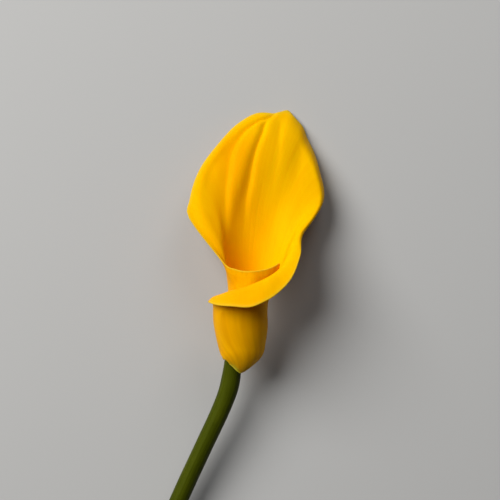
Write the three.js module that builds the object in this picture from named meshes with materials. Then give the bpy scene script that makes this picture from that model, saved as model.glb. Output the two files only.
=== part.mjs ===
// Calla lily flower, lying on its back. Millimetres: +X right, +Y towards the tip, +Z up.
// The flower is laid out round the base of its funnel, then moved onto the surface it lies on.
import * as THREE from 'three';

const REST = { x: 19.84, y: 33.68, z: 16.0 };          // shift from the funnel's base to the row's frame

// ---------------------------------------------------------------- smooth curves through stations
// Stations are [position, value, value, ...]; the result gives the values at any position.
function through(stations) {
  const at = stations.map((s) => s[0]);
  const last = at.length - 1;
  const count = stations[0].length - 1;
  const slope = (k, i) => (stations[i + 1][k] - stations[i][k]) / (at[i + 1] - at[i]);
  const ease = stations.map((_, i) => {
    const row = [];
    for (let k = 1; k <= count; k += 1) {
      if (i === 0) row.push(slope(k, 0));
      else if (i === last) row.push(slope(k, last - 1));
      else {
        const w = (at[i + 1] - at[i]) / (at[i + 1] - at[i - 1]);
        row.push(slope(k, i - 1) * w + slope(k, i) * (1 - w));
      }
    }
    return row;
  });
  return (position) => {
    const p = Math.min(Math.max(position, at[0]), at[last]);
    let i = 0;
    while (i < last - 1 && p >= at[i + 1]) i += 1;
    const h = at[i + 1] - at[i];
    const u = (p - at[i]) / h;
    const out = [];
    for (let k = 1; k <= count; k += 1) {
      out.push((1 + 2 * u) * (1 - u) ** 2 * stations[i][k] + u * (1 - u) ** 2 * h * ease[i][k - 1]
        + u * u * (3 - 2 * u) * stations[i + 1][k] + u * u * (u - 1) * h * ease[i + 1][k - 1]);
    }
    return out;
  };
}
const one = (stations) => { const f = through(stations); return (p) => f(p)[0]; };
const smooth = (v) => { const c = Math.min(Math.max(v, 0), 1); return c * c * (3 - 2 * c); };
const radians = (degrees) => degrees * Math.PI / 180;
const vec = (x, y, z) => new THREE.Vector3(x, y, z);

// ---------------------------------------------------------------- the spathe: one rolled leaf
// "turn" is the angle round the funnel: 0 at the back, +90 right, 180 front, 270 left. The leaf's
// inner half winds the other way (negative turns) and ends inside the funnel; its outer half ends
// at the left, outside the inner half.
const INNER_END = -290;
const OUTER_END = 290;
const INNER_BASE = -172;
const OUTER_BASE = 190;
const LEAN = 0.16;                                   // the funnel rises as it runs up
const BOWL_TOP = 10;                                 // height where the round base meets the tube
const ROW_BOWL = 0.14;                               // share of a leaf line in the base
const ROW_THROAT = 0.42;                             // and up to the throat

const centreX = one([[10, 0.8], [19, 2.0], [26.5, 3.2], [36, 4.8], [46, 5.2]]);

// radius of the roll by turn, at six heights
const LEVELS = [10, 19, 26.5, 31, 36, 46];
const rollByTurn = through([
  [-300, 6.4, 6.2, 5.4, 5.8, 7, 9.8],
  [-180, 7.2, 7.3, 7, 7.6, 8.7, 10.4],
  [-90, 7.9, 8.2, 8, 8.6, 9.4, 11.1],
  [0, 8.4, 8.6, 8.1, 8.4, 9.2, 10.8],
  [90, 9.05, 9.1, 7.8, 7.5, 9.4, 13.2],
  [120, 9.1, 9.7, 8.6, 8.5, 10.8, 14.9],
  [180, 9.4, 10.7, 11.2, 11.8, 12.8, 15.4],
  [270, 9.3, 12.3, 14.5, 15.3, 16.1, 18],
  [300, 9.3, 12.5, 14.9, 15.7, 16.4, 18],
]);

// where the tube opens into the limb, by turn
const throatY = one([
  [-300, 30], [-260, 32], [-225, 33], [-180, 32], [-135, 33], [-110, 35], [-90, 38], [-60, 42],
  [-30, 45], [0, 46], [30, 44], [60, 40], [90, 36], [120, 35], [140, 34], [160, 33], [180, 31.5],
  [210, 27], [240, 24], [262, 21], [300, 20],
]);

// the base ring round the top of the stem: turn, height, radius
const STEM_TOP_X = -3.1;
const baseRing = through([
  [-190, 3.9, 4.35], [-172, 4.5, 4.2], [-140, 5.6, 3.6], [-115, 5.9, 3.45], [-90, 5.9, 3.75],
  [-45, 5.7, 4.2], [0, 5, 4.5], [60, 3.3, 4.5], [90, 2.2, 4.5], [115, 1.2, 4.7], [140, 0.3, 5],
  [160, 1.3, 5.2], [180, 3.1, 5.3], [190, 3.9, 5.35], [210, 5, 5.3],
]);

// the rim: turn, point on the rim, and how the leaf runs out to it
const rim = through([
  [-300, 12.2, 38.4, 3, 0.6, 3, -0.3],
  [-285, 13.8, 40.6, 4.6, 0.8, 3.5, -0.2],
  [-270, 15.4, 43.2, 6.4, 1, 4.5, 0],
  [-250, 16.4, 45.8, 9, 1, 5, 0.3],
  [-225, 14.7, 45, 12.2, 0.6, 5, 0.6],
  [-200, 10.4, 43.4, 14.8, 0.3, 5, 0.8],
  [-180, 6.3, 42.8, 15.8, 0, 5, 0.8],
  [-150, 0.6, 42.9, 14.4, -0.4, 5, 0.8],
  [-135, -2.3, 43.6, 13.2, -0.6, 5, 0.8],
  [-123, -4.6, 44.3, 12, -1.6, 5, 0.9],
  [-113, -6.6, 46.1, 10.8, -2.3, 4.6, 1],
  [-106, -9.6, 49.9, 9.8, -4.2, 4.2, 0.8],
  [-99, -15.2, 56.7, 8.1, -6.9, 4.4, 0.4],
  [-91, -21.6, 66, 5, -12, 5, -1.5],
  [-82, -20.9, 72.5, 2.5, -12, 7, -2.5],
  [-73, -19.4, 79, 0, -12, 9, -4],
  [-60, -15.6, 87.4, -4, -10, 11.5, -6.5],
  [-45, -8.4, 97.1, -7.5, -7.5, 13.5, -8.5],
  [-28, -0.7, 105, -10, -4.5, 14.5, -10.5],
  [-14, 7.6, 109.5, -12.2, -0.5, 15, -12],
  [-4, 14, 109.3, -12.6, 3, 15, -12],
  [4, 18.4, 108.6, -12.8, 4.5, 15, -12],
  [11, 22.3, 107.9, -12.7, 6, 14.4, -11.2],
  [18, 26.1, 105.4, -12.3, 7, 13.5, -10],
  [32, 30.2, 99.4, -10.8, 9.5, 11, -7],
  [55, 36.4, 87.2, -6.6, 13, 5, -2],
  [75, 38.9, 72.8, -2, 14, 0, 1],
  [88, 34.3, 65, 2.5, 11, -3, 2.5],
  [100, 27.4, 58.2, 6.5, 5.6, -4, 3.4],
  [120, 25.2, 49.3, 12.5, 5, -6, 5.2],
  [140, 20.8, 39.3, 19, 4.6, -10, 7],
  [160, 13.2, 32.2, 24, 2.3, -14, 6.5],
  [170, 9.7, 30.3, 25.3, 1.6, -14.6, 6.5],
  [180, 6.3, 28.8, 26, 1, -15, 6.5],
  [210, -3.4, 28.6, 24, -2, -13.2, 5.5],
  [240, -10.3, 29.2, 18, -3.8, -9.4, 4],
  [253, -12.3, 29.8, 14.6, -3.4, -6.4, 3.4],
  [265, -13.1, 30.2, 11.2, -3, -3.4, 2.6],
  [277, -12.4, 30, 7.8, -2.8, -1.8, 1.6],
  [289, -10.6, 29.9, 4.6, -2.4, -1, 0.6],
  [300, -9.2, 30, 2.4, -2, -1, 0],
]);

// the right margin rolls back, and the tip is drawn out and bent back
const marginRoll = through([
  [-40, 0, 0, 0], [-10, 0, 0, -0.5], [5, 0, 0, -1], [18, -0.6, -0.3, -2.4], [32, -1.8, -0.5, -4.6],
  [45, -2.8, -0.3, -6.8], [56, -3.5, 0, -9.5], [67, -4, 0.3, -11.6], [77, -4, 0.6, -11.5],
  [87, -2.8, 0.8, -7.5], [98, -1.2, 0.4, -2.8], [115, -0.3, 0, -0.6], [130, 0, 0, 0],
]);
const ROLL_START = 0.85;                               // share of a limb line where the roll begins
const TIP_TURN = 5;
const TIP_HALF_TURN = 5.5;
const TIP_REACH = vec(1, 2.2, -2.07);

// pleats that run down from the tip: where each one lies, as [height, x], its depth, its widths to
// the left and right (low and high on the leaf), and the heights where it fades in and out
const PLEATS = [
  { line: [[58, -6.4], [67.6, -6], [76.9, -5.9], [83.6, -5], [91.1, -3.8], [97.9, -0.8], [103.7, 4.2],
    [106.6, 9], [108.4, 14.3]],
    depth: -1.25, left: [6.2, 1.8], right: [1.9, 0.9], fadeIn: [54, 74], fadeOut: [105, 111] },
  { line: [[58, 0.9], [64.3, 1.5], [72.7, 2.5], [81.1, 4.2], [86.9, 5.2], [94.5, 7.1], [101.2, 9.7],
    [107.5, 12.6], [109.4, 15]],
    depth: -1.15, left: [3.8, 1.7], right: [1.8, 0.9], fadeIn: [56, 78], fadeOut: [104, 111] },
  { line: [[70, 11.5], [79.4, 13], [85.3, 14.3], [92.8, 16.1], [98.7, 16.6], [103.7, 16.8], [109, 17]],
    depth: -0.35, left: [4.6, 2.4], right: [2.2, 1.2], fadeIn: [72, 92], fadeOut: [103, 110] },
  { line: [[70, 21], [76.9, 22.7], [82.7, 24.4], [89.5, 25.2], [97.9, 25.2], [103, 24]],
    depth: -0.25, left: [4, 2.5], right: [2.6, 1.8], fadeIn: [70, 82], fadeOut: [94, 104] },
  { line: [[50, -7], [54.6, -11], [58.8, -14.8], [63.4, -18.9], [67, -20.4]],
    depth: -0.4, left: [1.8, 1.8], right: [2, 2], fadeIn: [52, 60], fadeOut: [63, 69] },
  { line: [[56, -9], [63, -13.6], [69.3, -17], [75.8, -17.4], [81.2, -16.1], [85.3, -14.5],
    [93.8, -8.6], [97.2, -6.5], [104.5, 2]],
    depth: 0.7, left: [3, 1.5], right: [3, 1.5], fadeIn: [56, 68], fadeOut: [92, 104] },
];
PLEATS.forEach((pleat) => { pleat.x = one(pleat.line); });

function pleatDepth(p) {
  let sum = 0;
  PLEATS.forEach((pleat) => {
    const off = p.x - pleat.x(p.y);
    const [low, high] = off < 0 ? pleat.left : pleat.right;
    const width = low + (high - low) * smooth((p.y - 60) / 50);
    const fadeIn = smooth((p.y - pleat.fadeIn[0]) / (pleat.fadeIn[1] - pleat.fadeIn[0]));
    const fadeOut = smooth((pleat.fadeOut[1] - p.y) / (pleat.fadeOut[1] - pleat.fadeOut[0]));
    sum += pleat.depth * fadeIn * fadeOut * Math.exp(-((off / width) ** 2));
  });
  return sum;
}

// "side" runs over the leaf from its inner margin (-1) to its outer margin (+1)
function turnAt(side, climb) {
  const c = Math.min(Math.max(climb, 0), 1);
  if (side < 0) return -side * (INNER_BASE + (INNER_END - INNER_BASE) * c);
  return side * (OUTER_BASE + (OUTER_END - OUTER_BASE) * (1 - (1 - c) ** 2.5));
}

function tubePoint(turn, y) {
  const radii = rollByTurn(turn);
  const r = one(LEVELS.map((level, i) => [level, radii[i]]))(y);
  const angle = radians(turn);
  return vec(centreX(y) + r * Math.sin(angle), y, LEAN * y - r * Math.cos(angle));
}

function bezier(p0, p1, p2, p3, u) {
  const v = 1 - u;
  return vec(0, 0, 0).addScaledVector(p0, v ** 3).addScaledVector(p1, 3 * u * v * v)
    .addScaledVector(p2, 3 * u * u * v).addScaledVector(p3, u ** 3);
}

function bowlPoint(side, u, bowlClimb) {
  const turn = turnAt(side, bowlClimb * u);
  const angle = radians(turn);
  const [y, r] = baseRing(turn);
  const foot = vec(STEM_TOP_X + r * Math.sin(angle), y, LEAN * y - r * Math.cos(angle));
  const top = tubePoint(turn, BOWL_TOP);
  const up = tubePoint(turn, BOWL_TOP + 0.5).sub(top).normalize();
  const rise = top.y - foot.y;
  const out = vec(top.x - foot.x, 0, top.z - foot.z);
  const low = foot.clone().addScaledVector(out, 0.38).add(vec(0, 0.12 * rise, 0));
  return bezier(foot, low, top.clone().addScaledVector(up, -0.5 * rise), top, u);
}

function limbPoint(side, u, throat, beforeThroat) {
  const turn = turnAt(side, 1);
  const [x, y, z, outX, outY, outZ] = rim(turn);
  const edge = vec(x, y, z);
  const up = throat.clone().sub(beforeThroat).normalize();
  const reach = edge.distanceTo(throat);
  const p = bezier(throat, throat.clone().addScaledVector(up, 0.38 * reach),
    edge.clone().sub(vec(outX, outY, outZ)), edge, u);
  const roll = Math.max((u - ROLL_START) / (1 - ROLL_START), 0) ** 2;
  const tip = Math.max((u - 0.72) / 0.28, 0) ** 2
    * Math.exp(-(Math.abs((turn - TIP_TURN) / TIP_HALF_TURN) ** 1.7));
  return p.addScaledVector(vec(...marginRoll(turn)), roll).addScaledVector(TIP_REACH, tip);
}

// a point of the leaf: side as above, row from the base (0) to the rim (1)
function leafPoint(side, row) {
  const top = throatY(turnAt(side, 1));
  const bowlClimb = (BOWL_TOP - 2) / (top - 2);
  if (row <= ROW_BOWL) return bowlPoint(side, row / ROW_BOWL, bowlClimb);
  const inTube = (q) => tubePoint(turnAt(side, bowlClimb + (1 - bowlClimb) * q),
    BOWL_TOP + (top - BOWL_TOP) * q);
  if (row <= ROW_THROAT) return inTube((row - ROW_BOWL) / (ROW_THROAT - ROW_BOWL));
  return limbPoint(side, (row - ROW_THROAT) / (1 - ROW_THROAT), inTube(1), inTube(0.97));
}

// normals of a grid of points, facing the inside of the funnel
function gridNormals(grid) {
  const rows = grid[0].length;
  return grid.map((line, i) => line.map((_, j) => {
    const alongSide = grid[Math.min(i + 1, grid.length - 1)][j].clone()
      .sub(grid[Math.max(i - 1, 0)][j]);
    const alongRow = line[Math.min(j + 1, rows - 1)].clone().sub(line[Math.max(j - 1, 0)]);
    return alongSide.cross(alongRow).normalize();
  }));
}

// thinner towards every margin of the leaf
function leafThickness(side, row) {
  const toEdge = Math.min((1 - row) / 0.12, (1 - Math.abs(side)) / 0.05, row / 0.05);
  return 0.62 + 0.36 * smooth(toEdge);
}

const SIDE_STATIONS = one([[0, -1], [0.16, -0.38], [0.74, 0.345], [1, 1]]);
const SIDE_STEPS = 82;
const ROW_STEPS = 33;

// both faces of a sheet split alike, closed all round by a strip with a middle line
function solidSheet(points, normals, thickness) {
  const nSide = points.length;
  const nRow = points[0].length;
  const positions = [];
  const add = (p) => { positions.push(p.x, p.y, p.z); return positions.length / 3 - 1; };
  const face = (sign) => points.map((line, i) => line.map((p, j) => add(
    p.clone().addScaledVector(normals[i][j], sign * thickness[i][j] / 2))));
  const inner = face(1);
  const outer = face(-1);
  const index = [];
  for (let i = 0; i < nSide - 1; i += 1) {
    for (let j = 0; j < nRow - 1; j += 1) {
      const [a, b, c, d] = [[i, j], [i + 1, j], [i + 1, j + 1], [i, j + 1]];
      const at = (grid, k) => grid[k[0]][k[1]];
      index.push(at(inner, a), at(inner, b), at(inner, c), at(inner, a), at(inner, c), at(inner, d));
      index.push(at(outer, a), at(outer, c), at(outer, b), at(outer, a), at(outer, d), at(outer, c));
    }
  }
  const border = [];
  for (let i = 0; i < nSide - 1; i += 1) border.push([i, 0]);
  for (let j = 0; j < nRow - 1; j += 1) border.push([nSide - 1, j]);
  for (let i = nSide - 1; i > 0; i -= 1) border.push([i, nRow - 1]);
  for (let j = nRow - 1; j > 0; j -= 1) border.push([0, j]);
  border.forEach(([i, j], k) => {
    const [m, n] = border[(k + 1) % border.length];
    index.push(inner[i][j], outer[i][j], outer[m][n], inner[i][j], outer[m][n], inner[m][n]);
  });
  const geometry = new THREE.BufferGeometry();
  geometry.setAttribute('position', new THREE.Float32BufferAttribute(positions, 3));
  geometry.setIndex(index);
  return geometry;
}

function spatheGeometry() {
  const sides = [];
  const rows = [];
  for (let i = 0; i <= SIDE_STEPS; i += 1) sides.push(SIDE_STATIONS(i / SIDE_STEPS));
  for (let j = 0; j <= ROW_STEPS; j += 1) rows.push(j / ROW_STEPS);
  const plain = sides.map((side) => rows.map((row) => leafPoint(side, row)));
  const plainNormals = gridNormals(plain);
  const pleated = plain.map((line, i) => line.map((p, j) => {
    const turn = turnAt(sides[i], 1);
    const where = smooth((rows[j] - 0.36) / 0.2) * smooth((turn + 108) / 22)
      * smooth((62 - turn) / 25);
    return p.clone().addScaledVector(plainNormals[i][j], pleatDepth(p) * where);
  }));
  const thickness = sides.map((side) => rows.map((row) => leafThickness(side, row)));
  return solidSheet(pleated, gridNormals(pleated), thickness);
}

// ---------------------------------------------------------------- round pieces along a path
// Each ring stands square to the path; radiusAt(share, angle) gives its outline.
function roundPiece(path, steps, around, radiusAt) {
  const positions = [];
  const frames = [];
  for (let i = 0; i <= steps; i += 1) {
    const ahead = path.getPointAt(Math.min(i / steps + 0.004, 1));
    const behind = path.getPointAt(Math.max(i / steps - 0.004, 0));
    const along = ahead.sub(behind).normalize();
    const across = vec(0, 0, 1).cross(along).normalize();
    frames.push({ at: path.getPointAt(i / steps), along, across, over: along.clone().cross(across) });
  }
  const push = (p) => positions.push(p.x, p.y, p.z);
  push(frames[0].at);
  frames.forEach(({ at, across, over }, i) => {
    for (let k = 0; k < around; k += 1) {
      const angle = 2 * Math.PI * k / around;
      const r = radiusAt(i / steps, angle);
      push(at.clone().addScaledVector(across, r * Math.cos(angle))
        .addScaledVector(over, r * Math.sin(angle)));
    }
  });
  push(frames[steps].at);
  const end = positions.length / 3 - 1;
  const index = [];
  for (let k = 0; k < around; k += 1) {
    const next = (k + 1) % around;
    index.push(0, 1 + next, 1 + k);
    for (let i = 0; i < steps; i += 1) {
      const [a, b] = [1 + i * around + k, 1 + i * around + next];
      index.push(a, b, b + around, a, b + around, a + around);
    }
    index.push(end, 1 + steps * around + k, 1 + steps * around + next);
  }
  const geometry = new THREE.BufferGeometry();
  geometry.setAttribute('position', new THREE.Float32BufferAttribute(positions, 3));
  geometry.setIndex(index);
  return geometry;
}
const curved = (points) => new THREE.CatmullRomCurve3(points.map((p) => vec(...p)), false, 'centripetal');

// the stem, from its neck inside the spathe to the cut end that lies on the surface
const STEM_PATH = curved([
  [-2.8, 6, 0.9], [-3.1, 3, 0.4], [-3.8, -2, -0.4], [-4.9, -7, -1], [-8, -15.2, -2.1],
  [-15.7, -31.8, -4.2], [-24.4, -50.6, -6.3], [-39.6, -86, -9.3], [-56, -128, -11.4],
  [-71.5, -177, -12],
]);
const stemRadius = one([
  [0, 2.85], [0.0018, 2.95], [0.0048, 3.58], [0.012, 3.68], [0.028, 3.85], [0.045, 3.98], [0.09, 3.88],
  [0.2, 3.82], [0.4, 3.8], [1, 4],
]);

// the spadix, a spike of tiny round florets set in spiral rows
const SPADIX_PATH = curved([
  [-2.6, 6.7, 1.1], [-0.6, 11.0, 1.7], [1.7, 18.0, 2.9], [3.2, 26.5, 4.2], [4.8, 38.5, 6.0],
]);
const spadixOutline = one([
  [0, 1.7], [0.05, 2.4], [0.3, 2.95], [0.7, 2.9], [0.88, 2.3], [0.96, 1.5], [1, 0.5],
]);
const FLORETS_ROUND = 9;
const FLORET_ROWS = 17;
const FLORET_RISE = 0.14;
function spadixRadius(share, angle) {
  const bump = Math.cos(FLORETS_ROUND * angle + Math.PI * FLORET_ROWS * share)
    * Math.cos(Math.PI * FLORET_ROWS * share);
  return spadixOutline(share) + FLORET_RISE * bump * smooth((1 - share) / 0.1);
}

// ---------------------------------------------------------------- the flower
const group = new THREE.Group();
group.name = 'calla_lily_flower';

function place(name, geometry, colour) {
  geometry.translate(REST.x, REST.y, REST.z);
  geometry.computeVertexNormals();
  const mesh = new THREE.Mesh(geometry, new THREE.MeshStandardMaterial({ color: colour, roughness: 0.5 }));
  mesh.name = name;
  group.add(mesh);
}

place('spathe', spatheGeometry(), 0xf7b80c);
place('spadix', roundPiece(SPADIX_PATH, 51, 36, spadixRadius), 0xe8b62c);
place('stem', roundPiece(STEM_PATH, 52, 24, (share) => stemRadius(share)), 0x5c6b1e);

export default group;
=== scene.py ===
"""Calla lily flower lying on its back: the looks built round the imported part.

Row frame: +X right, +Y towards the tip, +Z up. Shapes are worked out in millimetres round the
base of the funnel, as in the part's source, then moved by REST and turned into metres.
"""
import math

import bpy
import numpy as np
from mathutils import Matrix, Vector


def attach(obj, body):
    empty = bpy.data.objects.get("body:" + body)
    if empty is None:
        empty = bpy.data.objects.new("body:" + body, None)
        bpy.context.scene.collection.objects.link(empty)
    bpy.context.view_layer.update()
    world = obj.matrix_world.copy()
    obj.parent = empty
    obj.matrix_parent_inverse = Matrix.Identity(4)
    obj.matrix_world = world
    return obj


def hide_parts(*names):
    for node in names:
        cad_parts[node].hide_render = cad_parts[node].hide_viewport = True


MM = 0.001
REST = np.array([19.84, 33.68, 16.0])      # where the base of the funnel lies in the row frame


# ------------------------------------------------------------ smooth curves through stations
def hermite(at, values, position):
    """Values at any positions; the last axis of values runs over the stations."""
    h = np.diff(at)
    step = np.diff(values, axis=-1) / h
    slope = np.empty_like(values)
    slope[..., 0], slope[..., -1] = step[..., 0], step[..., -1]
    w = h[1:] / (h[:-1] + h[1:])
    slope[..., 1:-1] = step[..., :-1] * w + step[..., 1:] * (1 - w)
    p = np.clip(position, at[0], at[-1])
    i = np.clip(np.searchsorted(at, p, side="right") - 1, 0, len(at) - 2)
    u, span = (p - at[i]) / h[i], h[i]

    def pick(table, k):
        if table.ndim == 1:
            return table[k]
        return np.take_along_axis(table, k[..., None], -1)[..., 0]

    return ((1 + 2 * u) * (1 - u) ** 2 * pick(values, i) + u * (1 - u) ** 2 * span * pick(slope, i)
            + u * u * (3 - 2 * u) * pick(values, i + 1) + u * u * (u - 1) * span * pick(slope, i + 1))


def through(stations):
    """Stations are rows of (position, value, value, ...); gives one column per value."""
    table = np.array(stations, float)

    def at(position):
        position = np.asarray(position, float)
        columns = [hermite(table[:, 0], table[:, k], position) for k in range(1, table.shape[1])]
        return columns[0] if len(columns) == 1 else np.stack(columns, -1)

    return at


def smooth(v):
    """A soft step from 0 to 1."""
    c = np.clip(v, 0, 1)
    return c * c * (3 - 2 * c)


def rising(value, start, run):
    """0 up to the start, then up to 1 over the run."""
    return smooth((value - start) / run)


def falling(value, end, run):
    """1 at first, then down over the run to 0 at the end."""
    return smooth((end - value) / run)


def bell(value, middle, width):
    return np.exp(-((value - middle) / width) ** 2)


# ------------------------------------------------------------ the spathe: one rolled leaf
# "turn" is the angle round the funnel: 0 back, 90 right, 180 front, 270 left. The inner half of
# the leaf winds through negative turns and ends inside; the outer half ends at the left, outside.
INNER_END, OUTER_END = -290, 290
INNER_BASE, OUTER_BASE = -172, 190
OUTER_HURRY = 2.5                          # the outer margin winds on early in its climb
LEAN = 0.16                                # how far the funnel leans forward for each mm up
BASE_MIDDLE, BOWL_TOP = 2, 10              # heights
ROW_BOWL, ROW_THROAT = 0.14, 0.42          # rows of the leaf where the bowl and the tube end
STEM_TOP_X = -3.1
FOOT_OUT, FOOT_UP, BOWL_EASE = 0.38, 0.12, 0.5         # handles of the bowl's curve, as shares
A_LITTLE_UP, JUST_BEFORE = 0.5, 0.97       # second points that give the tube's direction

# The funnel's axis: height, x.
centre_x = through([(10, 0.8), (19, 2.0), (26.5, 3.2), (36, 4.8), (46, 5.2)])
LEVELS = np.array([10, 19, 26.5, 31, 36, 46])
roll_by_turn = through([       # turn, radius of the tube at each of the levels
    (-300, 6.4, 6.2, 5.4, 5.8, 7.0, 9.8),
    (-180, 7.2, 7.3, 7.0, 7.6, 8.7, 10.4),
    (-90, 7.9, 8.2, 8.0, 8.6, 9.4, 11.1),
    (0, 8.4, 8.6, 8.1, 8.4, 9.2, 10.8),
    (90, 9.05, 9.1, 7.8, 7.5, 9.4, 13.2),
    (120, 9.1, 9.7, 8.6, 8.5, 10.8, 14.9),
    (180, 9.4, 10.7, 11.2, 11.8, 12.8, 15.4),
    (270, 9.3, 12.3, 14.5, 15.3, 16.1, 18.0),
    (300, 9.3, 12.5, 14.9, 15.7, 16.4, 18.0),
])
throat_y = through([           # turn, height where the tube opens into the limb
    (-300, 30), (-260, 32), (-225, 33), (-180, 32), (-135, 33), (-110, 35), (-90, 38), (-60, 42),
    (-30, 45), (0, 46), (30, 44), (60, 40), (90, 36), (120, 35), (140, 34), (160, 33), (180, 31.5),
    (210, 27), (240, 24), (262, 21), (300, 20),
])
base_ring = through([          # turn, height, radius
    (-190, 3.9, 4.35), (-172, 4.5, 4.2), (-140, 5.6, 3.6), (-115, 5.9, 3.45), (-90, 5.9, 3.75),
    (-45, 5.7, 4.2), (0, 5.0, 4.5), (60, 3.3, 4.5), (90, 2.2, 4.5), (115, 1.2, 4.7), (140, 0.3, 5.0),
    (160, 1.3, 5.2), (180, 3.1, 5.3), (190, 3.9, 5.35), (210, 5.0, 5.3),
])
rim = through([                # turn, point on the rim, and how the leaf runs out to it
    (-300, 12.2, 38.4, 3.0, 0.6, 3.0, -0.3),
    (-285, 13.8, 40.6, 4.6, 0.8, 3.5, -0.2),
    (-270, 15.4, 43.2, 6.4, 1.0, 4.5, 0.0),
    (-250, 16.4, 45.8, 9.0, 1.0, 5.0, 0.3),
    (-225, 14.7, 45.0, 12.2, 0.6, 5.0, 0.6),
    (-200, 10.4, 43.4, 14.8, 0.3, 5.0, 0.8),
    (-180, 6.3, 42.8, 15.8, 0.0, 5.0, 0.8),
    (-150, 0.6, 42.9, 14.4, -0.4, 5.0, 0.8),
    (-135, -2.3, 43.6, 13.2, -0.6, 5.0, 0.8),
    (-123, -4.6, 44.3, 12.0, -1.6, 5.0, 0.9),
    (-113, -6.6, 46.1, 10.8, -2.3, 4.6, 1.0),
    (-106, -9.6, 49.9, 9.8, -4.2, 4.2, 0.8),
    (-99, -15.2, 56.7, 8.1, -6.9, 4.4, 0.4),
    (-91, -21.6, 66.0, 5.0, -12.0, 5.0, -1.5),
    (-82, -20.9, 72.5, 2.5, -12.0, 7.0, -2.5),
    (-73, -19.4, 79.0, 0.0, -12.0, 9.0, -4.0),
    (-60, -15.6, 87.4, -4.0, -10.0, 11.5, -6.5),
    (-45, -8.4, 97.1, -7.5, -7.5, 13.5, -8.5),
    (-28, -0.7, 105.0, -10.0, -4.5, 14.5, -10.5),
    (-14, 7.6, 109.5, -12.2, -0.5, 15.0, -12.0),
    (-4, 14.0, 109.3, -12.6, 3.0, 15.0, -12.0),
    (4, 18.4, 108.6, -12.8, 4.5, 15.0, -12.0),
    (11, 22.3, 107.9, -12.7, 6.0, 14.4, -11.2),
    (18, 26.1, 105.4, -12.3, 7.0, 13.5, -10.0),
    (32, 30.2, 99.4, -10.8, 9.5, 11.0, -7.0),
    (55, 36.4, 87.2, -6.6, 13.0, 5.0, -2.0),
    (75, 38.9, 72.8, -2.0, 14.0, 0.0, 1.0),
    (88, 34.3, 65.0, 2.5, 11.0, -3.0, 2.5),
    (100, 27.4, 58.2, 6.5, 5.6, -4.0, 3.4),
    (120, 25.2, 49.3, 12.5, 5.0, -6.0, 5.2),
    (140, 20.8, 39.3, 19.0, 4.6, -10.0, 7.0),
    (160, 13.2, 32.2, 24.0, 2.3, -14.0, 6.5),
    (170, 9.7, 30.3, 25.3, 1.6, -14.6, 6.5),
    (180, 6.3, 28.8, 26.0, 1.0, -15.0, 6.5),
    (210, -3.4, 28.6, 24.0, -2.0, -13.2, 5.5),
    (240, -10.3, 29.2, 18.0, -3.8, -9.4, 4.0),
    (253, -12.3, 29.8, 14.6, -3.4, -6.4, 3.4),
    (265, -13.1, 30.2, 11.2, -3.0, -3.4, 2.6),
    (277, -12.4, 30.0, 7.8, -2.8, -1.8, 1.6),
    (289, -10.6, 29.9, 4.6, -2.4, -1.0, 0.6),
    (300, -9.2, 30.0, 2.4, -2.0, -1.0, 0.0),
])
margin_roll = through([        # the right margin rolls back
    (-40, 0, 0, 0), (-10, 0, 0, -0.5), (5, 0, 0, -1), (18, -0.6, -0.3, -2.4), (32, -1.8, -0.5, -4.6),
    (45, -2.8, -0.3, -6.8), (56, -3.5, 0, -9.5), (67, -4.0, 0.3, -11.6), (77, -4.0, 0.6, -11.5),
    (87, -2.8, 0.8, -7.5), (98, -1.2, 0.4, -2.8), (115, -0.3, 0, -0.6), (130, 0, 0, 0),
])
THROAT_RUN_ON = 0.38                       # how far the leaf keeps the throat's direction
ROLL_START, TIP_START = 0.85, 0.72         # shares of the limb where the roll and the tip begin
TIP_TURN, TIP_HALF_TURN, TIP_SHARPNESS = 5.0, 5.5, 1.7
TIP_REACH = np.array([1.0, 2.2, -2.07])

# Pleats run down from the tip. Each is a line of (height, x), its depth (a ridge has a positive one),
# its widths to the left and right of the line, each low and high on the leaf, and the heights where it
# fades in and out.
PLEAT_LOW, PLEAT_SPAN = 60, 50             # from where, and over how much height, the widths change
PLEATS = [
    (through([(58, -6.4), (67.6, -6.0), (76.9, -5.9), (83.6, -5.0), (91.1, -3.8), (97.9, -0.8),
              (103.7, 4.2), (106.6, 9.0), (108.4, 14.3)]),
     -1.25, (6.2, 1.8), (1.9, 0.9), (54, 74), (105, 111)),
    (through([(58, 0.9), (64.3, 1.5), (72.7, 2.5), (81.1, 4.2), (86.9, 5.2), (94.5, 7.1),
              (101.2, 9.7), (107.5, 12.6), (109.4, 15.0)]),
     -1.15, (3.8, 1.7), (1.8, 0.9), (56, 78), (104, 111)),
    (through([(70, 11.5), (79.4, 13.0), (85.3, 14.3), (92.8, 16.1), (98.7, 16.6), (103.7, 16.8),
              (109, 17.0)]),
     -0.35, (4.6, 2.4), (2.2, 1.2), (72, 92), (103, 110)),
    (through([(70, 21.0), (76.9, 22.7), (82.7, 24.4), (89.5, 25.2), (97.9, 25.2), (103, 24.0)]),
     -0.25, (4.0, 2.5), (2.6, 1.8), (70, 82), (94, 104)),
    (through([(50, -7.0), (54.6, -11.0), (58.8, -14.8), (63.4, -18.9), (67, -20.4)]),
     -0.4, (1.8, 1.8), (2.0, 2.0), (52, 60), (63, 69)),
    (through([(56, -9), (63, -13.6), (69.3, -17), (75.8, -17.4), (81.2, -16.1), (85.3, -14.5),
              (93.8, -8.6), (97.2, -6.5), (104.5, 2.0)]),
     0.7, (3.0, 1.5), (3.0, 1.5), (56, 68), (92, 104)),
]


def between(pair, share):
    """The value at a share of the way from the pair's first to its second."""
    return pair[0] + (pair[1] - pair[0]) * share


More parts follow.
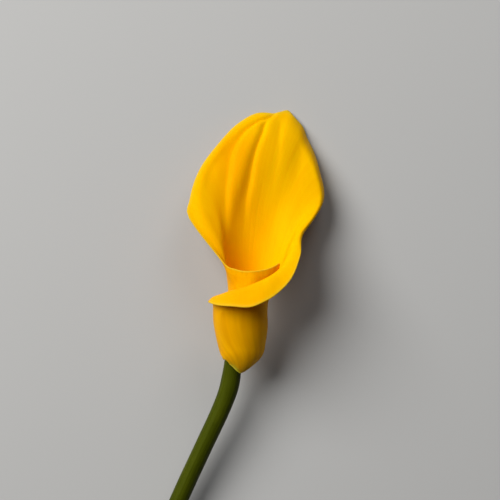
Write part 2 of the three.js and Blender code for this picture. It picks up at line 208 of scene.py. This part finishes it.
def pleat_depth(p):
    """How far the pleats lift the leaf at its points."""
    x, y = p[..., 0], p[..., 1]
    total = np.zeros(x.shape)
    high = rising(y, PLEAT_LOW, PLEAT_SPAN)
    for line, depth, left, right, fade_in, fade_out in PLEATS:
        off = x - line(y)
        width = np.where(off < 0, between(left, high), between(right, high))
        fade = (rising(y, fade_in[0], fade_in[1] - fade_in[0])
                * falling(y, fade_out[1], fade_out[1] - fade_out[0]))
        total += depth * fade * bell(off, 0, width)
    return total


def turn_at(side, climb):
    """The turn that a line of the leaf has reached at a share of its climb to the throat.

    side says which line: it runs over the leaf from the inner margin (-1) to the outer one (+1).
    """
    c = np.clip(climb, 0, 1)
    inner = INNER_BASE + (INNER_END - INNER_BASE) * c
    outer = OUTER_BASE + (OUTER_END - OUTER_BASE) * (1 - (1 - c) ** OUTER_HURRY)
    return np.where(side < 0, -side * inner, side * outer)


def tube_point(turn, y):
    """Points of the rolled tube at a turn and a height."""
    turn, y = np.broadcast_arrays(turn, y)
    r = hermite(LEVELS, roll_by_turn(turn), y)
    angle = np.radians(turn)
    return np.stack([centre_x(y) + r * np.sin(angle), y, LEAN * y - r * np.cos(angle)], -1)


def unit(v):
    """The vectors at length 1."""
    return v / np.maximum(np.linalg.norm(v, axis=-1, keepdims=True), 1e-9)


def bezier(p0, p1, p2, p3, u):
    """Points of the cubic curves with these ends and handles."""
    u = u[..., None]
    v = 1 - u
    return v ** 3 * p0 + 3 * u * v * v * p1 + 3 * u * u * v * p2 + u ** 3 * p3


def bowl_points(side, u, bowl_climb):
    """The round foot of the leaf, from the ring round the stem up to the tube."""
    turn = turn_at(side, bowl_climb * u)
    angle = np.radians(turn)
    ring = base_ring(turn)
    y, r = ring[..., 0], ring[..., 1]
    foot = np.stack([STEM_TOP_X + r * np.sin(angle), y, LEAN * y - r * np.cos(angle)], -1)
    top = tube_point(turn, np.full(turn.shape, float(BOWL_TOP)))
    up = unit(tube_point(turn, np.full(turn.shape, BOWL_TOP + A_LITTLE_UP)) - top)
    rise = (top - foot)[..., 1:2]
    out = (top - foot) * [1, 0, 1]
    low = foot + FOOT_OUT * out + FOOT_UP * rise * [0, 1, 0]
    return bezier(foot, low, top - BOWL_EASE * rise * up, top, u)


def limb_points(side, u, throat, before_throat):
    """The spread part of the leaf, from the throat out to the rim, with its roll and its tip."""
    turn = turn_at(side, 1.0)
    station = rim(turn)
    edge, run_out = station[..., :3], station[..., 3:]
    up = unit(throat - before_throat)
    reach = np.linalg.norm(edge - throat, axis=-1, keepdims=True)
    p = bezier(throat, throat + THROAT_RUN_ON * reach * up, edge - run_out, edge, u)
    roll = np.clip((u - ROLL_START) / (1 - ROLL_START), 0, 1) ** 2
    tip = (np.clip((u - TIP_START) / (1 - TIP_START), 0, 1) ** 2
           * np.exp(-np.abs((turn - TIP_TURN) / TIP_HALF_TURN) ** TIP_SHARPNESS))
    return p + margin_roll(turn) * roll[..., None] + TIP_REACH * tip[..., None]


def leaf_points(side, row):
    """Points of the plain leaf: row runs from the base (0) to the rim (1)."""
    side, row = np.broadcast_arrays(side, row)
    top = throat_y(turn_at(side, 1.0))
    bowl_climb = (BOWL_TOP - BASE_MIDDLE) / (top - BASE_MIDDLE)

    def in_tube(q):
        return tube_point(turn_at(side, bowl_climb + (1 - bowl_climb) * q),
                          BOWL_TOP + (top - BOWL_TOP) * q)

    bowl = bowl_points(side, np.clip(row / ROW_BOWL, 0, 1), bowl_climb)
    tube = in_tube(np.clip((row - ROW_BOWL) / (ROW_THROAT - ROW_BOWL), 0, 1))
    whole = np.ones(side.shape)
    limb = limb_points(side, np.clip((row - ROW_THROAT) / (1 - ROW_THROAT), 0, 1),
                       in_tube(whole), in_tube(whole * JUST_BEFORE))
    low, high = (row <= ROW_BOWL)[..., None], (row <= ROW_THROAT)[..., None]
    return np.where(low, bowl, np.where(high, tube, limb))


def grid_normals(points):
    """Normals of a grid of points, facing the inside of the funnel."""
    return unit(np.cross(np.gradient(points, axis=0), np.gradient(points, axis=1)))


WAVE_HEIGHTS = (0.10, 0.06)                # low waves of the limb, in millimetres
VEIN_HEIGHT, TUBE_VEINS = 0.005, 0.35      # the veins, and the share of them that the tube keeps
LIMB_RELIEF, RIM_RELIEF = (0.40, 0.25), (1, 0.06)      # (start, run) and (end, run), in rows


def fine_relief(side, row):
    """Low waves and the fine parallel veins of the leaf."""
    waves = (WAVE_HEIGHTS[0] * np.sin(31 * side + 5 * row + 0.6) * np.sin(9 * row + 1.1)
             + WAVE_HEIGHTS[1] * np.sin(53 * side - 11 * row + 2.0) * np.sin(17 * row))
    veins = VEIN_HEIGHT * (np.sin(260 * side + 2.1 * np.sin(7 * row))
                           + np.sin(521 * side + 1.3 * np.sin(9 * row + 1)))
    in_limb = rising(row, *LIMB_RELIEF)
    veins *= TUBE_VEINS + (1 - TUBE_VEINS) * in_limb
    return waves * in_limb + veins * falling(row, *RIM_RELIEF)


EDGE_THICKNESS, MIDDLE_THICKNESS = 0.62, 0.98
THIN_RIM, THIN_SIDE, THIN_BASE = 0.12, 0.05, 0.05      # shares of the leaf that thin to its edges


def leaf_thickness(side, row):
    to_edge = np.minimum(np.minimum((1 - row) / THIN_RIM, (1 - np.abs(side)) / THIN_SIDE),
                         row / THIN_BASE)
    return EDGE_THICKNESS + (MIDDLE_THICKNESS - EDGE_THICKNESS) * smooth(to_edge)


SIDE_COUNT, ROW_COUNT = 290, 160           # lines of the fine grid
# Share of the lines, side: they lie closest at the pleats and the rolled margin.
side_stations = through([(0, -1), (0.16, -0.38), (0.74, 0.345), (1, 1)])
EDGE_ANGLES = np.radians([45, 90, 135])    # lines that round the sheet's edge


def grid_border(n_side, n_row):
    """The points round the grid's border, in order."""
    low = [(i, 0) for i in range(n_side - 1)]
    right = [(n_side - 1, j) for j in range(n_row - 1)]
    high = [(i, n_row - 1) for i in range(n_side - 1, 0, -1)]
    left = [(0, j) for j in range(n_row - 1, 0, -1)]
    return low + right + high + left


def outward(points, i, j):
    """The direction out of the leaf, in its surface, at a border point."""
    n_side, n_row = points.shape[:2]
    way = np.zeros(3)
    if i == 0:
        way += unit(points[0, j] - points[1, j])
    if i == n_side - 1:
        way += unit(points[-1, j] - points[-2, j])
    if j == 0:
        way += unit(points[i, 0] - points[i, 1])
    if j == n_row - 1:
        way += unit(points[i, -1] - points[i, -2])
    return unit(way)


def edge_points(points, normals, half, border):
    """The lines of points that round the sheet's edge, from its inner face to its outer one."""
    made = []
    for angle in EDGE_ANGLES:
        for i, j in border:
            way = normals[i, j] * math.cos(angle) + outward(points, i, j) * math.sin(angle)
            made.append(points[i, j] + half[i, j] * way)
    return np.array(made)


def edge_faces(index, border):
    """The strips of faces round the edge; index numbers the points of the inner face."""
    inner = [index[i, j] for i, j in border]
    rings = [inner]
    for k in range(len(EDGE_ANGLES)):
        first = 2 * index.size + k * len(border)
        rings.append([first + m for m in range(len(border))])
    rings.append([at + index.size for at in inner])
    strips = []
    for near, far in zip(rings, rings[1:]):
        for m in range(len(border)):
            n = (m + 1) % len(border)
            strips.append((near[m], far[m], far[n], near[n]))
    return np.array(strips)


def solid_sheet(points, normals, thickness):
    """Vertices and faces of the sheet: two faces and a rounded edge all round."""
    half = thickness[..., None] / 2
    index = np.arange(thickness.size).reshape(thickness.shape)
    a, b, c, d = index[:-1, :-1], index[1:, :-1], index[1:, 1:], index[:-1, 1:]
    border = grid_border(*index.shape)
    verts = [(points + normals * half).reshape(-1, 3), (points - normals * half).reshape(-1, 3),
             edge_points(points, normals, half, border)]
    faces = [np.stack([a, b, c, d], -1).reshape(-1, 4),
             np.stack([a, d, c, b], -1).reshape(-1, 4) + index.size,
             edge_faces(index, border)]
    return np.concatenate(verts), np.concatenate(faces), border


def mesh_object(name, verts, faces, attributes):
    """A smooth object from points in millimetres, with one value per vertex for each attribute."""
    mesh = bpy.data.meshes.new(name)
    faces = [tuple(int(v) for v in f) for f in faces]
    mesh.from_pydata((verts + REST) * MM, [], faces)
    mesh.update()
    for key, values in attributes.items():
        data = mesh.attributes.new(key, "FLOAT", "POINT")
        data.data.foreach_set("value", np.asarray(values, np.float32))
    mesh.polygons.foreach_set("use_smooth", np.ones(len(mesh.polygons), bool))
    obj = bpy.data.objects.new(name, mesh)
    bpy.context.scene.collection.objects.link(obj)
    return obj


def add_uv(obj, u, v):
    """A UV map from one pair of values per vertex."""
    layer = obj.data.uv_layers.new(name="leaf")
    loops = np.empty(len(obj.data.loops), np.int32)
    obj.data.loops.foreach_get("vertex_index", loops)
    layer.data.foreach_set("uv", np.stack([u[loops], v[loops]], -1).astype(np.float32).ravel())


# Soft steps that say where the pleats and the tints lie: (start or end, run), and for a bell
# (middle, width).
PLEAT_ROWS, PLEAT_LEFT, PLEAT_RIGHT = (0.36, 0.2), (-108, 22), (62, 25)
MARGIN_AT_RIM, MARGIN_AT_SIDE = 0.018, 0.008
# Painted shade: the inside of the leaf turns deeper orange down towards the throat, in place of the
# shade and bounced light deep in the funnel.
THROAT_SHADE_ROWS, THROAT_SHADE_TURN, THROAT_SHADE_SPREAD = (0.66, 0.30), -30, (110, 80)
FLUSH_X, FLUSH_ROWS, FLUSH_TOP = (-2, 11), (0.45, 0.2), (107, 14)
# Painted highlight: a pale line along the lowest edge of the leaf, round the stem, in place of light
# caught on that rim.
BASE_ROWS, FOOT_HIGHLIGHT_ROWS = (0.13, 0.13), (0.013, 0.009)
HEEL_ROWS, HEEL_TURN = (0.040, 0.035), (162, 16)


def pleated_share(turn, row):
    """1 where the pleats lift the leaf, fading out to the throat and to both margins."""
    return rising(row, *PLEAT_ROWS) * rising(turn, *PLEAT_LEFT) * falling(turn, *PLEAT_RIGHT)


def colour_fields(side, row, points):
    """Grids of values from 0 to 1 that say where the leaf's tints lie."""
    x, y = points[..., 0], points[..., 1]
    to_margin = np.minimum((1 - row) / MARGIN_AT_RIM, (1 - np.abs(side)) / MARGIN_AT_SIDE)
    from_shade_turn = np.abs(turn_at(side, 1.0) - THROAT_SHADE_TURN)
    return {
        "margin": 1 - smooth(to_margin),
        # painted shade: deeper orange on the inside towards the throat
        "throat_shade": falling(row, *THROAT_SHADE_ROWS) * falling(from_shade_turn, *THROAT_SHADE_SPREAD),
        "flush": bell(x, *FLUSH_X) * rising(row, *FLUSH_ROWS) * falling(y, *FLUSH_TOP),
        "base": falling(row, *BASE_ROWS),
        # painted highlight along the lowest edge of the leaf
        "foot": falling(row, *FOOT_HIGHLIGHT_ROWS),
        "heel": falling(row, *HEEL_ROWS) * bell(turn_at(side, 0.0), *HEEL_TURN),
    }


def make_spathe():
    side = side_stations(np.linspace(0, 1, SIDE_COUNT))[:, None]
    side, row = np.broadcast_arrays(side, np.linspace(0, 1, ROW_COUNT)[None, :])
    plain = leaf_points(side, row)
    lift = pleat_depth(plain) * pleated_share(turn_at(side, 1.0), row) + fine_relief(side, row)
    points = plain + grid_normals(plain) * lift[..., None]
    verts, faces, border = solid_sheet(points, grid_normals(points), leaf_thickness(side, row))
    at_side, at_row = np.array(border).T
    edge_count = len(EDGE_ANGLES) * len(border)

    def spread(grid):
        """One value per vertex from a grid of values: inner face, outer face, edge lines."""
        edge = np.tile(grid[at_side, at_row], len(EDGE_ANGLES))
        return np.concatenate([grid.ravel(), grid.ravel(), edge])

    inside = np.concatenate([np.ones(side.size), np.zeros(side.size), np.full(edge_count, 0.5)])
    attributes = {key: spread(grid) for key, grid in colour_fields(side, row, points).items()}
    attributes["margin"][-edge_count:] = 1.0
    for key in ("throat_shade", "flush"):
        attributes[key] = attributes[key] * inside
    attributes["inside"] = inside
    obj = mesh_object("spathe_leaf", verts, faces, attributes)
    add_uv(obj, spread((side + 1) / 2), spread(row))
    return obj


# ------------------------------------------------------------ round pieces along a path
def curve_share(p0, p1, p2, p3, steps):
    """Points of a centripetal Catmull-Rom curve from p1 up to, but without, p2."""
    d0, d1, d2 = (np.linalg.norm(b - a) ** 0.5 for a, b in ((p0, p1), (p1, p2), (p2, p3)))
    t1 = ((p1 - p0) / d0 - (p2 - p0) / (d0 + d1) + (p2 - p1) / d1) * d1
    t2 = ((p2 - p1) / d1 - (p3 - p1) / (d1 + d2) + (p3 - p2) / d2) * d1
    u = np.linspace(0, 1, steps, endpoint=False)[:, None]
    return (p1 * (2 * u ** 3 - 3 * u ** 2 + 1) + t1 * (u ** 3 - 2 * u ** 2 + u)
            + p2 * (3 * u ** 2 - 2 * u ** 3) + t2 * (u ** 3 - u ** 2))


def along_line(line, at, places):
    """Points of a line at any places along it; at gives the places of the line's own points."""
    return np.stack([np.interp(places, at, line[:, k]) for k in range(3)], -1)


def path_points(nodes, samples=500, steps=80):
    """A smooth curve through the nodes, as points spaced evenly along it."""
    p = np.array(nodes, float)
    p = np.vstack([2 * p[0] - p[1], p, 2 * p[-1] - p[-2]])
    parts = [curve_share(*p[k - 1:k + 3], steps) for k in range(1, len(p) - 2)]
    points = np.vstack(parts + [p[-2][None]])
    length = np.concatenate([[0], np.cumsum(np.linalg.norm(np.diff(points, axis=0), axis=1))])
    return along_line(points, length, np.linspace(0, length[-1], samples))


def sweep(line, share, angle, radius_at):
    """Rings of points round a line, with the rings' centres and the line's direction at each."""
    centre = along_line(line, np.linspace(0, 1, len(line)), share)
    along = unit(np.gradient(centre, axis=0))
    across = unit(np.cross([0, 0, 1], along))
    over = np.cross(along, across)
    radius = radius_at(share[:, None], angle[None, :])
    rings = (centre[:, None] + across[:, None] * (radius * np.cos(angle))[..., None]
             + over[:, None] * (radius * np.sin(angle))[..., None])
    return rings, centre, along


class RoundMesh:
    """A round solid, built ring by ring; each vertex keeps its values (along, part, cap)."""

    def __init__(self, around):
        self.around = around
        self.verts, self.values, self.faces = [], [], []

    def add(self, points, *values):
        """Adds points with their values and gives the number of the first one."""
        first = sum(len(v) for v in self.verts)
        self.verts.append(points)
        self.values.append(np.stack([np.broadcast_to(v, len(points)) for v in values]))
        return first

    def next_corners(self):
        k = np.arange(self.around)
        return k, (k + 1) % self.around

    def join(self, low, high):
        """Faces between two rings, given the first vertex of each."""
        k, n = self.next_corners()
        self.faces += [tuple(f) for f in np.stack([low + k, low + n, high + n, high + k], -1)]

    def close(self, ring, tip, way):
        """Triangles from a ring to the point that closes it, at the start (-1) or the end (1)."""
        k, n = self.next_corners()
        fan = np.stack([np.full(self.around, tip), ring + n, ring + k], -1)
        self.faces += [tuple(f) for f in (fan if way < 0 else fan[:, ::-1])]


def round_piece(name, nodes, steps, around, radius_at, caps):
    """A round solid along a path; caps gives rings (share of the radius, how far out) for the ends."""
    share = np.linspace(0, 1, steps)
    angle = np.linspace(0, 2 * math.pi, around, endpoint=False)
    rings, centre, along = sweep(path_points(nodes), share, angle, radius_at)
    body = RoundMesh(around)
    firsts = [body.add(ring, at, angle / (2 * math.pi), 0.0) for ring, at in zip(rings, share)]
    for low, high in zip(firsts, firsts[1:]):
        body.join(low, high)
    for end, way in ((0, -1), (steps - 1, 1)):
        last, at = firsts[end], float(end > 0)
        for part, out in caps:
            ring = centre[end] + along[end] * way * out + (rings[end] - centre[end]) * part
            first = body.add(ring, at, part, 1.0)
            body.join(*((first, last) if way < 0 else (last, first)))
            last = first
        tip = centre[end] + along[end] * way * caps[-1][1]
        body.close(last, body.add(tip[None], at, 0.0, 1.0), way)
    u, v, cap = np.concatenate(body.values, axis=1)
    obj = mesh_object(name, np.concatenate(body.verts), body.faces, {"along": u, "cap": cap, "part": v})
    add_uv(obj, u, v)
    return obj


STEM_NODES = [                             # from the top of the stem to its cut end
    (-2.8, 6.0, 0.9), (-3.1, 3.0, 0.4), (-3.8, -2.0, -0.4), (-4.9, -7.0, -1.0), (-8.0, -15.2, -2.1),
    (-15.7, -31.8, -4.2), (-24.4, -50.6, -6.3), (-39.6, -86.0, -9.3), (-56.0, -128.0, -11.4),
    (-71.5, -177.0, -12.0),
]
stem_outline = through([                   # share of the stem, radius
    (0, 2.85), (0.0018, 2.95), (0.0048, 3.58), (0.012, 3.68), (0.028, 3.85), (0.045, 3.98),
    (0.09, 3.88), (0.2, 3.82), (0.4, 3.8), (1, 4.0),
])
STEM_STEPS, STEM_AROUND = 220, 96
NECK_SHARE = 0.05                          # the ribs come in over this share of the stem
CUT_RINGS = [(0.985, 0.0), (0.94, -0.03), (0.80, -0.06), (0.4, -0.05)]     # slightly dished


def stem_radius(share, angle):
    """The round stem with fine ribs and a slightly uneven section, plain at the neck."""
    ribs = 0.022 * np.cos(13 * angle + 3 * share) + 0.014 * np.cos(29 * angle - 5 * share)
    uneven = 0.05 * np.sin(17 * share + 1) * np.sin(2 * angle + 9 * share)
    return stem_outline(share) + (ribs + uneven) * rising(share, 0, NECK_SHARE)


SPADIX_NODES = [                           # from the foot of the spadix to its tip
    (-2.6, 6.7, 1.1), (-0.6, 11.0, 1.7), (1.7, 18.0, 2.9), (3.2, 26.5, 4.2), (4.8, 38.5, 6.0),
]
spadix_outline = through([                 # share of the spadix, radius
    (0, 1.7), (0.05, 2.4), (0.3, 2.95), (0.7, 2.9), (0.88, 2.3), (0.96, 1.5), (1, 0.5),
])
FLORETS_ROUND, FLORET_ROWS = 18, 34
FLORET_RISE, FLORET_SINK, FLORET_SIZE, FLORET_STRETCH = 0.24, 0.10, 0.62, 0.9
SMOOTH_TIP = (1, 0.06)                     # (end, run): the florets fade out towards the tip
STEPS_PER_FLORET = 8
BLUNT_END = [(0.5, 0.12)]


def spadix_radius(share, angle):
    """Round florets in rows, every second row moved on by half a floret."""
    row = share * FLORET_ROWS
    near = np.full(np.broadcast(share, angle).shape, 9.0)
    for shift in (-1, 0, 1):
        line = np.floor(row) + shift + 0.5
        turn = angle / (2 * math.pi) * FLORETS_ROUND + 0.5 * (np.floor(line) % 2)
        beside = turn - np.round(turn)
        near = np.minimum(near, np.hypot(beside, (row - line) * FLORET_STRETCH))
    bump = np.sqrt(np.clip(1 - (near / FLORET_SIZE) ** 2, 0, 1))
    return spadix_outline(share) + (FLORET_RISE * bump - FLORET_SINK) * falling(share, *SMOOTH_TIP)


# ------------------------------------------------------------ materials
class Nodes:
    """Short calls for building a node material."""

    def __init__(self, name):
        self.material = bpy.data.materials.new(name)
        self.material.use_nodes = True
        self.tree = self.material.node_tree
        self.shader = self.tree.nodes["Principled BSDF"]

    def add(self, kind, **values):
        node = self.tree.nodes.new(kind)
        for key, value in values.items():
            setattr(node, key, value)
        return node

    def link(self, a, b):
        self.tree.links.new(a, b)

    def attribute(self, name):
        """The piece's own value of this name at each point."""
        return self.add("ShaderNodeAttribute", attribute_name=name).outputs["Fac"]

    def mix(self, factor, a, b):
        """Colour a, or b where the factor is 1."""
        node = self.add("ShaderNodeMix", data_type="RGBA")
        self.put(factor, node.inputs[0])
        self.put(a, node.inputs[6])
        self.put(b, node.inputs[7])
        return node.outputs[2]

    def put(self, value, socket):
        """Links a socket, or sets a colour or a number."""
        if isinstance(value, bpy.types.NodeSocket):
            self.link(value, socket)
        elif isinstance(value, tuple):
            socket.default_value = (*value, 1.0)
        else:
            socket.default_value = value

    def noise(self, scale, stretch=(1, 1, 1), detail=3.0, uv=True):
        """Soft noise on the piece's UV map, or in its own space."""
        where = self.add("ShaderNodeTexCoord").outputs["UV" if uv else "Object"]
        mapping = self.add("ShaderNodeMapping")
        mapping.inputs["Scale"].default_value = stretch
        self.link(where, mapping.inputs["Vector"])
        node = self.add("ShaderNodeTexNoise")
        node.inputs["Scale"].default_value = scale
        node.inputs["Detail"].default_value = detail
        self.link(mapping.outputs[0], node.inputs["Vector"])
        return node.outputs["Fac"]

    def ramp(self, value, low, high, to_low=0.0, to_high=1.0):
        """Carries the range low to high over to the range to_low to to_high."""
        node = self.add("ShaderNodeMapRange")
        for key, v in (("From Min", low), ("From Max", high), ("To Min", to_low), ("To Max", to_high)):
            node.inputs[key].default_value = v
        self.link(value, node.inputs["Value"])
        return node.outputs[0]

    def times(self, a, b):
        node = self.add("ShaderNodeMath", operation="MULTIPLY")
        self.put(a, node.inputs[0])
        self.put(b, node.inputs[1])
        return node.outputs[0]

    def bump(self, height, strength, distance):
        node = self.add("ShaderNodeBump")
        node.inputs["Strength"].default_value = strength
        node.inputs["Distance"].default_value = distance
        self.link(height, node.inputs["Height"])
        self.link(node.outputs[0], self.shader.inputs["Normal"])

    def set(self, **values):
        for key, value in values.items():
            self.shader.inputs[key.replace("_", " ")].default_value = value


YELLOW = (0.97, 0.50, 0.0)
OUTER_YELLOW = (0.90, 0.42, 0.0)
OUTER_BAND = (0.68, 0.28, 0.0)
GOLD = (0.93, 0.38, 0.0)
DEEP_GOLD = (0.88, 0.34, 0.0)
LIME = (0.66, 0.52, 0.03)
LEAF_GREEN = (0.30, 0.29, 0.012)
# The next colour is a painted highlight: the pale line along the lowest edge of the leaf.
FOOT_HIGHLIGHT = (0.95, 0.78, 0.05)
HEEL_GREEN = (0.56, 0.52, 0.03)
PETAL_GLOSS = (1.0, 0.70, 0.05, 1.0)

# Tints laid over one another in this order: the attribute that says where, how strong, what colour.
# The first inner tint is painted shade, deeper orange in the throat.
INNER_TINTS = [("throat_shade", 0.55, GOLD), ("flush", 0.9, GOLD)]
EDGE_TINTS = [
    ("margin", 0.45, LIME), ("base", 0.25, LEAF_GREEN), ("heel", 0.8, HEEL_GREEN),
    # The foot tint is a painted highlight along the lowest edge.
    ("foot", 0.8, FOOT_HIGHLIGHT),
]


def tinted(m, colour, tints):
    """The colour with the tints laid over it."""
    for name, strength, tint in tints:
        colour = m.mix(m.times(m.attribute(name), strength), colour, tint)
    return colour


def spathe_material():
    m = Nodes("petal_yellow")
    streaks = m.noise(1.0, (150, 3, 1), 3.0)
    clouds = m.noise(0.9, (14, 6, 1), 2.0)
    bands = m.noise(1.0, (30, 2, 1), 2.0)
    outer = m.mix(m.ramp(bands, 0.42, 0.66, 0.0, 0.6), OUTER_YELLOW, OUTER_BAND)
    colour = tinted(m, m.mix(m.attribute("inside"), outer, YELLOW), INNER_TINTS)
    colour = m.mix(m.ramp(streaks, 0.40, 0.72, 0.0, 0.22), colour, DEEP_GOLD)
    colour = m.mix(m.ramp(clouds, 0.35, 0.70, 0.0, 0.22), colour, DEEP_GOLD)
    m.link(tinted(m, colour, EDGE_TINTS), m.shader.inputs["Base Color"])
    m.link(m.ramp(m.noise(2.0, (60, 30, 1)), 0.3, 0.7, 0.42, 0.54), m.shader.inputs["Roughness"])
    m.bump(streaks, 0.05, 0.0002)
    m.set(Subsurface_Weight=0.15, Subsurface_Scale=0.0032, Subsurface_Radius=(1.0, 0.48, 0.05),
          Specular_IOR_Level=0.06, Specular_Tint=PETAL_GLOSS)
    return m.material


STEM_GREEN = (0.058, 0.072, 0.002)
STEM_DARK = (0.040, 0.050, 0.001)
STEM_PALE = (0.085, 0.098, 0.004)
PITH = (0.50, 0.52, 0.22)
STEM_GLOSS = (0.80, 1.0, 0.30, 1.0)


def stem_material():
    m = Nodes("stem_green")
    fibres = m.noise(1.0, (3, 46, 1), 4.0)
    patches = m.noise(1.0, (9, 3, 1), 2.0)
    colour = m.mix(m.ramp(fibres, 0.35, 0.72), STEM_DARK, STEM_GREEN)
    colour = m.mix(m.ramp(patches, 0.45, 0.80, 0.0, 0.6), colour, STEM_PALE)
    cut = m.times(m.attribute("cap"), m.ramp(m.attribute("part"), 0.97, 0.90))
    dots = m.ramp(m.noise(2600.0, uv=False, detail=1.0), 0.52, 0.66, 0.0, 0.55)
    colour = m.mix(cut, colour, m.mix(dots, PITH, STEM_PALE))
    m.link(colour, m.shader.inputs["Base Color"])
    m.link(m.ramp(fibres, 0.3, 0.7, 0.34, 0.48), m.shader.inputs["Roughness"])
    m.bump(fibres, 0.12, 0.0004)
    m.set(Subsurface_Weight=0.12, Subsurface_Scale=0.002, Subsurface_Radius=(0.8, 1.0, 0.2),
          Specular_IOR_Level=0.08, Specular_Tint=STEM_GLOSS)
    return m.material


FLORET_GOLD = (0.80, 0.40, 0.02)
FLORET_PALE = (0.92, 0.62, 0.14)
FLOOR_GREY = (0.5, 0.5, 0.5, 1.0)


def spadix_material():
    m = Nodes("floret_gold")
    grains = m.noise(1500.0, uv=False, detail=2.0)
    colour = m.mix(m.ramp(grains, 0.35, 0.65), FLORET_GOLD, FLORET_PALE)
    m.link(colour, m.shader.inputs["Base Color"])
    m.link(m.ramp(grains, 0.3, 0.7, 0.6, 0.75), m.shader.inputs["Roughness"])
    m.bump(grains, 0.2, 0.0002)
    m.set(Subsurface_Weight=0.15, Subsurface_Scale=0.001, Subsurface_Radius=(1.0, 0.5, 0.1))
    return m.material


def floor_material():
    m = Nodes("studio_floor")
    m.set(Base_Color=FLOOR_GREY, Roughness=0.9, Specular_IOR_Level=0.1)
    return m.material


# ------------------------------------------------------------ the scene
VIEW_CENTRE = np.array([4.2, 51.7, 0.0])   # middle of the view, from the funnel's base
VIEW_WIDTH = 210.0                         # millimetres across the view there
VIEW_DISTANCE = 1500.0
SENSOR = 36.0
NEAR_CLIP, FAR_CLIP = 0.05, 20
LIT_POINT = (0.02, 0.06, 0.02)             # metres, as all the places of the lights are
LIGHTS = [                                 # name, place, size, watts, colour
    ("key", (-0.82, 0.70, 1.05), 1.2, 28.0, (1.0, 0.99, 0.96)),
    ("front", (0.45, 1.2, 0.9), 0.8, 4.0, (1.0, 1.0, 1.0)),
]
SKY_COLOUR, SKY_STRENGTH = (0.9, 0.93, 1.0, 1.0), 0.03
FLOOR_HALF = 3


def add_camera():
    data = bpy.data.cameras.new("camera")
    data.sensor_width = SENSOR
    data.lens = SENSOR * VIEW_DISTANCE / VIEW_WIDTH
    data.clip_start, data.clip_end = NEAR_CLIP, FAR_CLIP
    cam = bpy.data.objects.new("camera", data)
    bpy.context.scene.collection.objects.link(cam)
    cam.location = (VIEW_CENTRE + REST) * MM + np.array([0, 0, VIEW_DISTANCE * MM])
    bpy.context.scene.camera = cam


def add_light(name, place, size, power, colour):
    data = bpy.data.lights.new(name, "AREA")
    data.shape, data.size, data.energy, data.color = "DISK", size, power, colour
    light = bpy.data.objects.new(name, data)
    bpy.context.scene.collection.objects.link(light)
    light.location = place
    light.rotation_euler = (Vector(LIT_POINT) - Vector(place)).to_track_quat("-Z", "Y").to_euler()


def add_studio():
    for light in LIGHTS:
        add_light(*light)
    world = bpy.data.worlds.new("studio")
    world.use_nodes = True
    sky = world.node_tree.nodes["Background"]
    sky.inputs["Color"].default_value = SKY_COLOUR
    sky.inputs["Strength"].default_value = SKY_STRENGTH
    bpy.context.scene.world = world
    bpy.context.scene.view_settings.view_transform = "Standard"


def add_floor():
    h = FLOOR_HALF
    mesh = bpy.data.meshes.new("floor")
    mesh.from_pydata([(-h, -h, 0), (h, -h, 0), (h, h, 0), (-h, h, 0)], [], [(0, 1, 2, 3)])
    floor = bpy.data.objects.new("floor", mesh)
    bpy.context.scene.collection.objects.link(floor)
    mesh.materials.append(floor_material())


def dress(obj, material, node):
    """Puts a finished piece in the place of its CAD node."""
    obj.data.materials.append(material)
    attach(obj, "root")
    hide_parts(node)


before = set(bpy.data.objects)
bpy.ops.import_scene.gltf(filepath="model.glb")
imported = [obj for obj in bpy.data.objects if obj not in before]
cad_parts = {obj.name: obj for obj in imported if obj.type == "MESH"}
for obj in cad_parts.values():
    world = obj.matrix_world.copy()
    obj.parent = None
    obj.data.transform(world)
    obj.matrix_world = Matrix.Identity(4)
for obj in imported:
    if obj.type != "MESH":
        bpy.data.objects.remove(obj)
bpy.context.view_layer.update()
dress(make_spathe(), spathe_material(), "spathe")
dress(round_piece("spadix_florets", SPADIX_NODES, FLORET_ROWS * STEPS_PER_FLORET + 1,
                  FLORETS_ROUND * STEPS_PER_FLORET, spadix_radius, BLUNT_END),
      spadix_material(), "spadix")
dress(round_piece("stem_stalk", STEM_NODES, STEM_STEPS, STEM_AROUND, stem_radius, CUT_RINGS),
      stem_material(), "stem")
add_floor()
add_studio()
add_camera()
